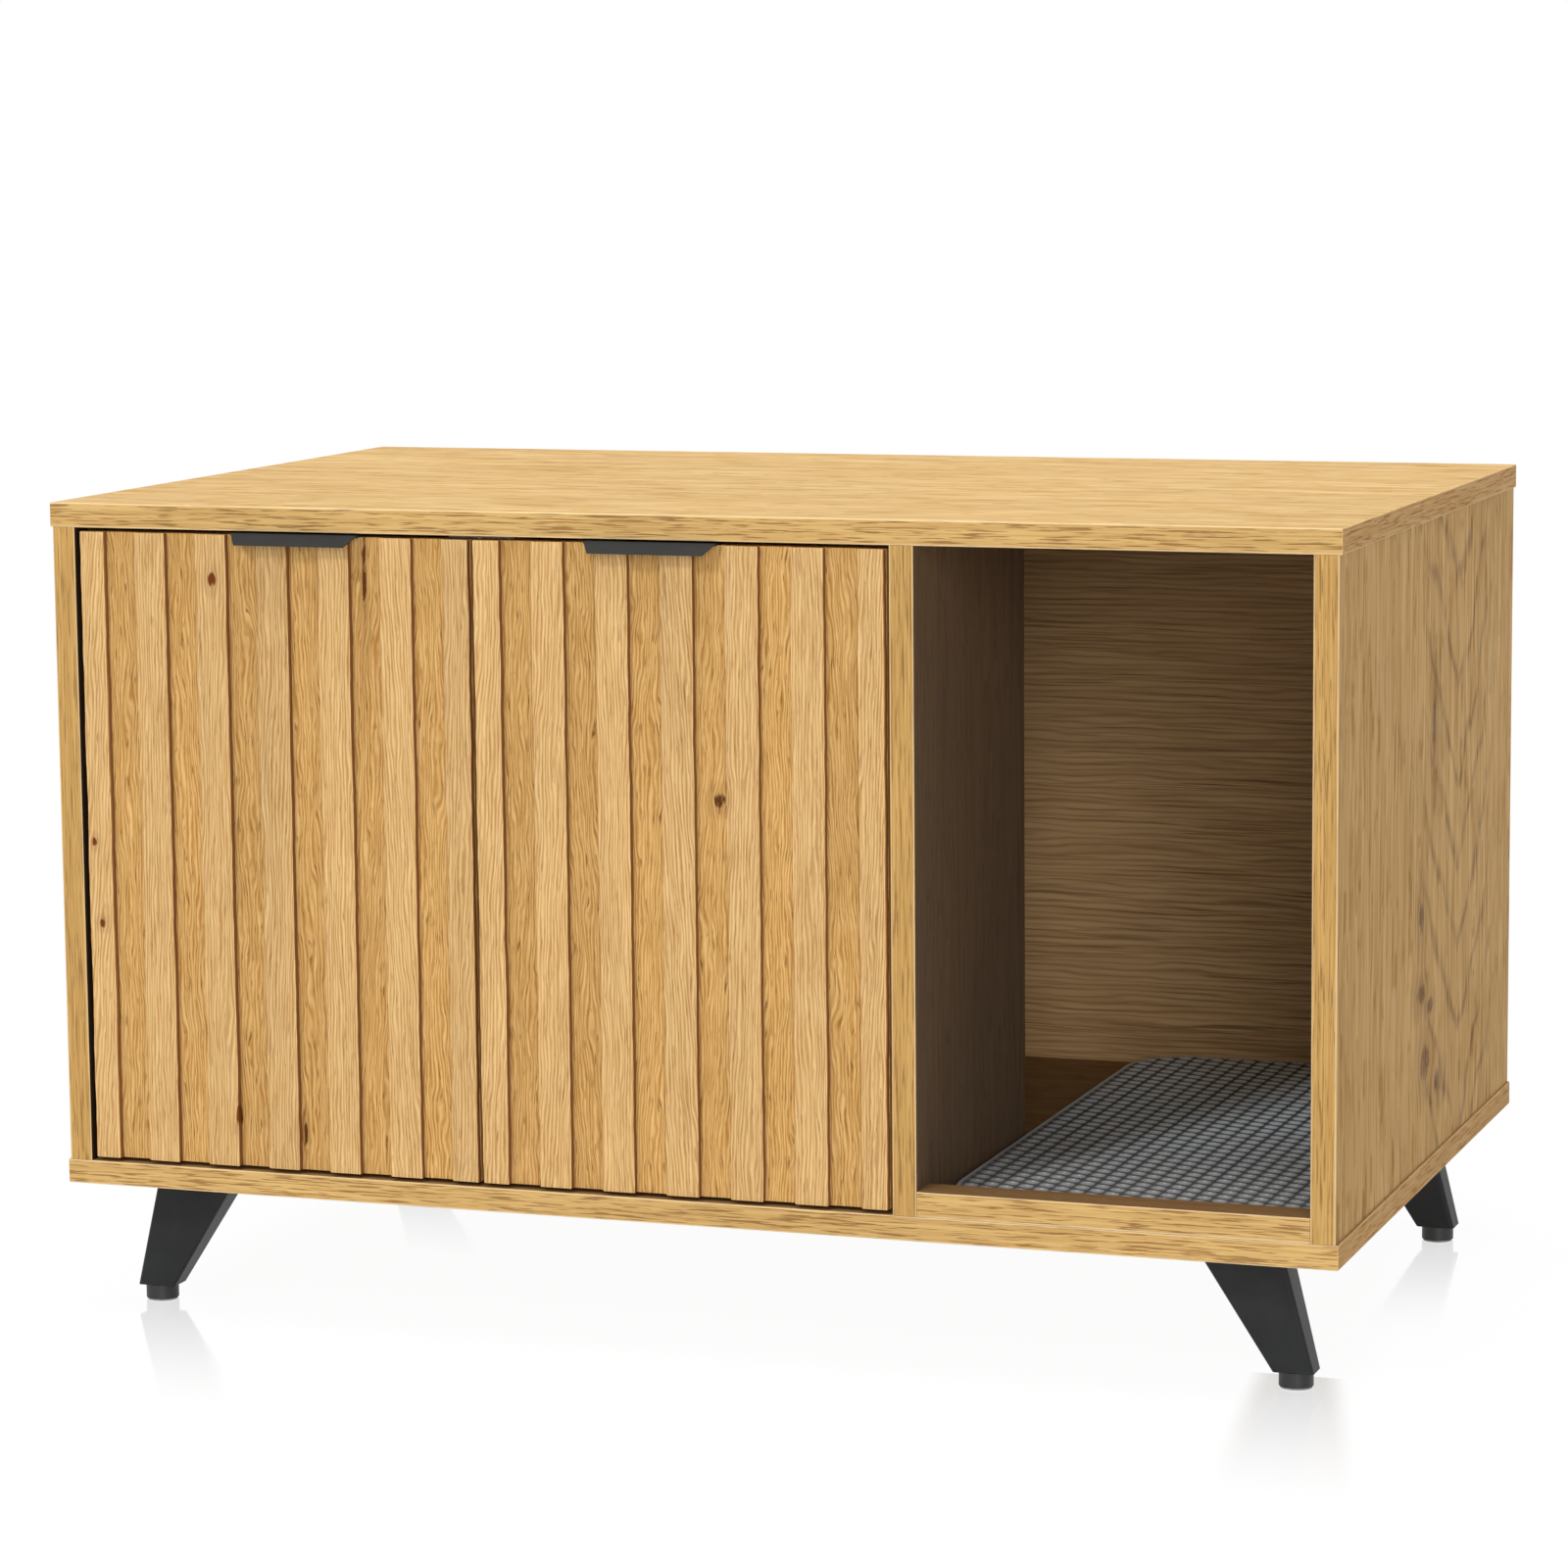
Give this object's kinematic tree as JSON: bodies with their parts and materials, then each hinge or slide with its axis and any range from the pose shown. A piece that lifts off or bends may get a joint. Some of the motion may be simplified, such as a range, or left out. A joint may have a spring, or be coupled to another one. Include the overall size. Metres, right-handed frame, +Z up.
{
  "type": "cat litter box cabinet",
  "caption": "Wooden cabinet on splayed legs that hides a litter pan behind two ribbed doors, with an open entry bay, a low threshold and a looped mat.",
  "frame": {"origin": "on the floor, in the middle of the outline with the handles", "axes": "+X along the width towards the open entry bay, +Y to the back, +Z up; the doors face -Y"},
  "size_m": [0.97, 0.612, 0.61],
  "materials": {
    "oak_top": "oak-look laminate, satin, grain along the width",
    "oak_side": "oak-look laminate, satin, upright grain",
    "oak_rail": "oak-look laminate, satin",
    "oak_slat": "oak-look strips with rounded edges, upright grain",
    "oak_core": "oak-look laminate, a little darker, upright grain",
    "back_board": "printed thin board, grain along the width",
    "dowel_beech": "plain turned wood",
    "mat_weave": "dark grey looped weave with a bound edge",
    "leg_black": "matt black",
    "foot_black": "matt black",
    "pad_grey": "pale grey, matt",
    "handle_black": "matt black powder coat",
    "screw_steel": "zinc plated",
    "cam_zinc": "die-cast zinc, dull",
    "catch_plastic": "brown moulded plastic",
    "hinge_steel": "nickel plated, satin"
  },
  "bodies": {
    "root": {"back_left_leg": "leg_black", "back_panel": "back_board", "back_right_leg": "leg_black", "bottom_panel": "oak_top", "cam_bolts": "cam_zinc", "cam_locks": "cam_zinc", "dowels": "dowel_beech", "front_left_leg": "leg_black", "front_partition": "oak_side", "front_right_leg": "leg_black", "hinge_mounting_plates": "hinge_steel", "hinge_plate_screws": "screw_steel", "left_lower_hinge_arm": "hinge_steel", "left_side_panel": "oak_side", "left_upper_hinge_arm": "hinge_steel", "leg_screws": "screw_steel", "magnetic_catch": "catch_plastic", "right_lower_hinge_arm": "hinge_steel", "right_side_panel": "oak_side", "right_upper_hinge_arm": "hinge_steel", "threshold_rail": "oak_rail", "top_panel": "oak_top"},
    "back_left_foot": {"back_left_foot": "foot_black", "back_left_foot_pad": "pad_grey"},
    "back_right_foot": {"back_right_foot": "foot_black", "back_right_foot_pad": "pad_grey"},
    "front_left_foot": {"front_left_foot": "foot_black", "front_left_foot_pad": "pad_grey"},
    "front_right_foot": {"front_right_foot": "foot_black", "front_right_foot_pad": "pad_grey"},
    "left_door": {"left_door_core": "oak_core", "left_door_screws": "screw_steel", "left_door_slat_1": "oak_slat", "left_door_slat_2": "oak_slat", "left_door_slat_3": "oak_slat", "left_door_slat_4": "oak_slat", "left_door_slat_5": "oak_slat", "left_door_slat_6": "oak_slat", "left_door_slat_7": "oak_slat", "left_handle": "handle_black", "left_hinge_pins": "hinge_steel", "left_lower_hinge_cup": "hinge_steel", "left_strike_plate": "hinge_steel", "left_upper_hinge_cup": "hinge_steel"},
    "mat": {"litter_mat": "mat_weave"},
    "right_door": {"right_door_core": "oak_core", "right_door_screws": "screw_steel", "right_door_slat_1": "oak_slat", "right_door_slat_2": "oak_slat", "right_door_slat_3": "oak_slat", "right_door_slat_4": "oak_slat", "right_door_slat_5": "oak_slat", "right_door_slat_6": "oak_slat", "right_door_slat_7": "oak_slat", "right_handle": "handle_black", "right_hinge_pins": "hinge_steel", "right_lower_hinge_cup": "hinge_steel", "right_strike_plate": "hinge_steel", "right_upper_hinge_cup": "hinge_steel"}
  },
  "joints": [
    {"name": "left_door_hinge", "type": "hinge", "parent": "root", "child": "left_door", "pos_m": [-0.44, -0.281, 0.355], "axis": [0, 0, -1], "range_deg": [0, 95]},
    {"name": "right_door_hinge", "type": "hinge", "parent": "root", "child": "right_door", "pos_m": [0.139, -0.281, 0.355], "axis": [0, 0, 1], "range_deg": [0, 95]},
    {"name": "mat_lift", "type": "slide", "parent": "root", "child": "mat", "axis": [0, 0, 1], "range_m": [0, 0.3]},
    {"name": "front_left_foot_thread", "type": "slide", "parent": "root", "child": "front_left_foot", "axis": [0, 0, 1], "range_m": [-0.008, 0]},
    {"name": "front_right_foot_thread", "type": "slide", "parent": "root", "child": "front_right_foot", "axis": [0, 0, 1], "range_m": [-0.008, 0]},
    {"name": "back_left_foot_thread", "type": "slide", "parent": "root", "child": "back_left_foot", "axis": [0, 0, 1], "range_m": [-0.008, 0]},
    {"name": "back_right_foot_thread", "type": "slide", "parent": "root", "child": "back_right_foot", "axis": [0, 0, 1], "range_m": [-0.008, 0]}
  ]
}
